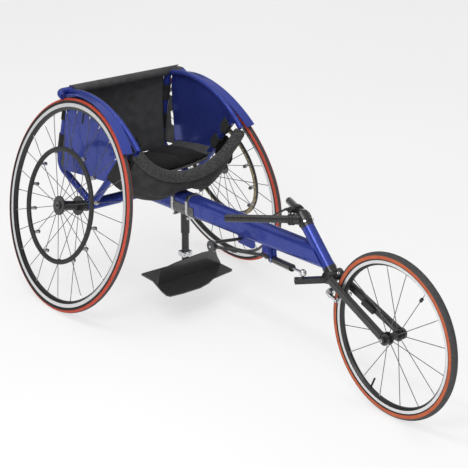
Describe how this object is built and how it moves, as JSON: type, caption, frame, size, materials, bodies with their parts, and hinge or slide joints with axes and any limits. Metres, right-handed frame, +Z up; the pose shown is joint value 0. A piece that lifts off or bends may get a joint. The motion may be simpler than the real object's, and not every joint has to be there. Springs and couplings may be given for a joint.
{
  "type": "racing wheelchair",
  "caption": "Three-wheeled racing wheelchair: leaning spoked rear wheels with push rims, slung padded seat, foot plate and a long tube to a steered, braked front wheel.",
  "frame": {"origin": "on the floor, at the middle of the whole length and width", "axes": "+X forward along the main tube, +Y to the rider's left, +Z up; the fork points straight ahead at rest"},
  "size_m": [1.727, 0.7384, 0.6699],
  "materials": {
    "blue": "gloss",
    "black_metal": "satin",
    "bright": "polished",
    "rim_metal": "brushed",
    "spoke_steel": "bright",
    "grey_plate": "bead blasted",
    "cloth": "woven",
    "red_tyre": "matte",
    "black_tyre": "matte",
    "grip_rubber": "matte",
    "black_plastic": "satin"
  },
  "bodies": {
    "frame": {"main_tube": "blue", "head_tube": "blue", "axle_tube": "blue", "rear_uprights": "blue", "front_struts": "blue", "back_bar": "blue", "front_hoop": "blue", "mudguard_right": "blue", "mudguard_left": "blue", "side_panel_right": "blue", "side_panel_left": "blue", "frame_lugs": "blue", "camber_plugs": "black_metal", "headset_cups": "black_metal", "wheel_axles": "bright", "footrest_clamp": "grey_plate", "clamp_bands": "bright", "footrest_sleeve": "black_metal", "back_cloth": "cloth", "back_laces": "cloth", "seat_sling": "cloth", "seat_cushion": "cloth", "front_pad": "cloth", "front_apron": "cloth", "strut_sleeves": "cloth", "guide_bar": "black_metal", "pivot_pins": "bright"},
    "footrest": {"footrest_post": "black_metal", "footplate": "black_metal", "foot_bolts": "bright"},
    "fork": {"fork": "black_metal", "steering_arm": "black_metal", "stem": "black_metal", "handlebar": "black_metal", "brake_perch": "black_plastic", "brake_cable": "black_plastic", "front_axle": "bright", "speed_sensor": "black_plastic"},
    "front_wheel": {"front_tyre": "black_tyre", "front_rim": "rim_metal", "front_hub": "black_metal", "front_spoke_set": "spoke_steel"},
    "rear_wheel_right": {"rear_tyre_right": "red_tyre", "rear_rim_right": "rim_metal", "rear_hub_right": "black_metal", "rear_spokes_right": "spoke_steel", "push_rim_right": "grip_rubber"},
    "rear_wheel_left": {"rear_tyre_left": "red_tyre", "rear_rim_left": "rim_metal", "rear_hub_left": "black_metal", "rear_spokes_left": "spoke_steel", "push_rim_left": "grip_rubber"},
    "button_right": {"button_right": "black_plastic"},
    "button_left": {"button_left": "black_plastic"},
    "track_lever": {"track_lever": "black_metal"},
    "compensator_body": {"compensator_body": "black_metal"},
    "compensator_rod": {"compensator_rod": "bright"},
    "brake_lever": {"brake_lever": "black_plastic"},
    "caliper_right": {"caliper_right": "bright"},
    "caliper_left": {"caliper_left": "bright"}
  },
  "joints": [
    {"name": "rear_wheel_right_spin", "type": "hinge", "parent": "frame", "child": "rear_wheel_right", "pos_m": [-0.5295, -0.2855, 0.32572], "axis": [0, -0.9744, 0.225], "continuous": true},
    {"name": "rear_wheel_left_spin", "type": "hinge", "parent": "frame", "child": "rear_wheel_left", "pos_m": [-0.5295, 0.2855, 0.32572], "axis": [0, 0.9744, 0.225], "continuous": true},
    {"name": "fork_steer", "type": "hinge", "parent": "frame", "child": "fork", "pos_m": [0.3211, 0, 0.3913], "axis": [0.7071, 0, -0.7071], "range_deg": [-8, 8], "stiffness_Nm_per_rad": 12},
    {"name": "front_wheel_spin", "type": "hinge", "parent": "fork", "child": "front_wheel", "pos_m": [0.6305, 0, 0.233], "axis": [0, 1, 0], "continuous": true},
    {"name": "compensator_swing", "type": "hinge", "parent": "frame", "child": "compensator_body", "pos_m": [0.1255, 0, 0.29005], "axis": [0.2944, 0.9495, 0.1086], "range_deg": [-1.83, 1.83]},
    {"name": "compensator_slide", "type": "slide", "parent": "compensator_body", "child": "compensator_rod", "axis": [0.9271, -0.3113, 0.2087], "range_m": [-0.00972, 0.00972]},
    {"name": "track_lever_swing", "type": "hinge", "parent": "frame", "child": "track_lever", "pos_m": [0.0985, 0, 0.29105], "axis": [0, 0, 1], "range_deg": [0, 12]},
    {"name": "brake_lever_pull", "type": "hinge", "parent": "fork", "child": "brake_lever", "pos_m": [0.1556, 0.0368, 0.44095], "axis": [0, 0, -1], "range_deg": [0, 15], "stiffness_Nm_per_rad": 1.2},
    {"name": "caliper_right_close", "type": "hinge", "parent": "fork", "child": "caliper_right", "pos_m": [0.384, 0, 0.2854], "axis": [0.2079, 0, 0.9781], "range_deg": [0, 2.5]},
    {"name": "caliper_left_close", "type": "hinge", "parent": "fork", "child": "caliper_left", "pos_m": [0.384, 0, 0.2854], "axis": [-0.2079, 0, -0.9781], "range_deg": [0, 2.5]},
    {"name": "button_right_press", "type": "slide", "parent": "frame", "child": "button_right", "axis": [0, 0.9744, -0.225], "range_m": [0, 0.0028], "stiffness_N_per_m": 900},
    {"name": "button_left_press", "type": "slide", "parent": "frame", "child": "button_left", "axis": [0, -0.9744, -0.225], "range_m": [0, 0.0028], "stiffness_N_per_m": 900},
    {"name": "footrest_height", "type": "slide", "parent": "frame", "child": "footrest", "axis": [0, 0, 1], "range_m": [-0.02, 0.02]}
  ],
  "couplings": [
    {"joint": "compensator_swing", "follows": "fork_steer", "ratio": 0.16657},
    {"joint": "compensator_slide", "follows": "fork_steer", "m_per_rad": -0.065346},
    {"joint": "caliper_right_close", "follows": "brake_lever_pull", "ratio": 0.16},
    {"joint": "caliper_left_close", "follows": "brake_lever_pull", "ratio": 0.16}
  ]
}
